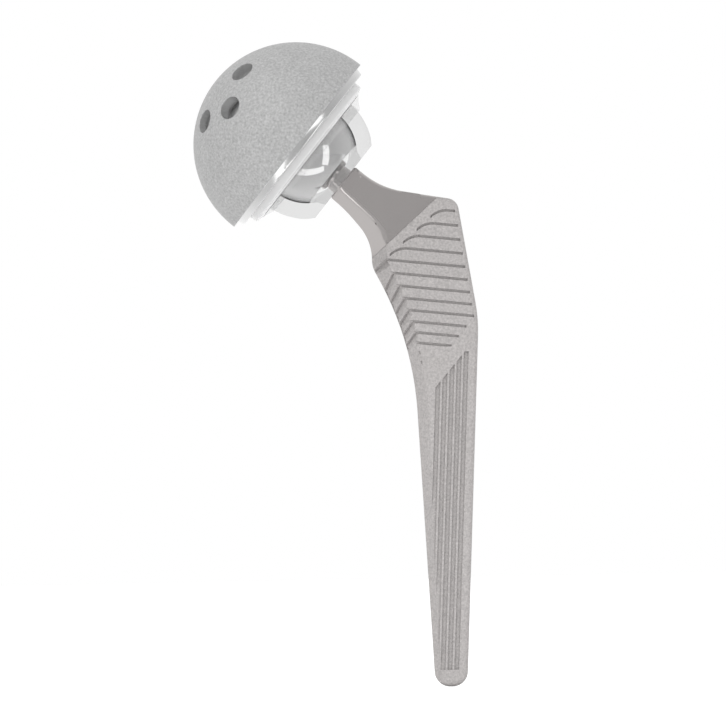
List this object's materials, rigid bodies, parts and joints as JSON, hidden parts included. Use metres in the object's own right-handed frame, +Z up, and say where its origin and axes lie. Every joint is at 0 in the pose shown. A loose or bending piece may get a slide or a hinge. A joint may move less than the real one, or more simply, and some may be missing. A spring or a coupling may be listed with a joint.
{
  "type": "total hip implant",
  "caption": "Hip implant with a grooved, flat, tapered stem, a metal ball head in a clear ball insert, a pale liner and a rough metal cup shell with screw holes.",
  "frame": {"origin": "on the stem's axis, at the height where the medial coating ends", "axes": "+Z up along the stem's axis, +X lateral, away from the cup, +Y to the back of the flat stem"},
  "size_m": [0.0794, 0.058, 0.1827],
  "materials": {
    "coated_stem_metal": "fine rough coating on the body, satin metal on the neck",
    "polished_head_metal": "mirror polished",
    "clear_insert": "clear, polished",
    "liner_plastic": "smooth, satin",
    "coated_shell_metal": "coarse rough coating on the dome, polished rim"
  },
  "bodies": {
    "stem": {"femoral_stem": "coated_stem_metal", "femoral_head": "polished_head_metal"},
    "insert": {"insert_cup": "clear_insert", "insert_cap": "clear_insert"},
    "cup": {"acetabular_liner": "liner_plastic", "acetabular_shell": "coated_shell_metal"}
  },
  "joints": [
    {"name": "head_in_insert", "type": "hinge", "parent": "stem", "child": "insert", "pos_m": [-0.0379, 0, 0.0301], "axis": [0.6428, 0, 0.766], "range_deg": [-4, 4]},
    {"name": "insert_in_liner", "type": "hinge", "parent": "insert", "child": "cup", "pos_m": [-0.0379, 0, 0.0301], "axis": [0, 1, 0], "range_deg": [-50, 50]}
  ]
}
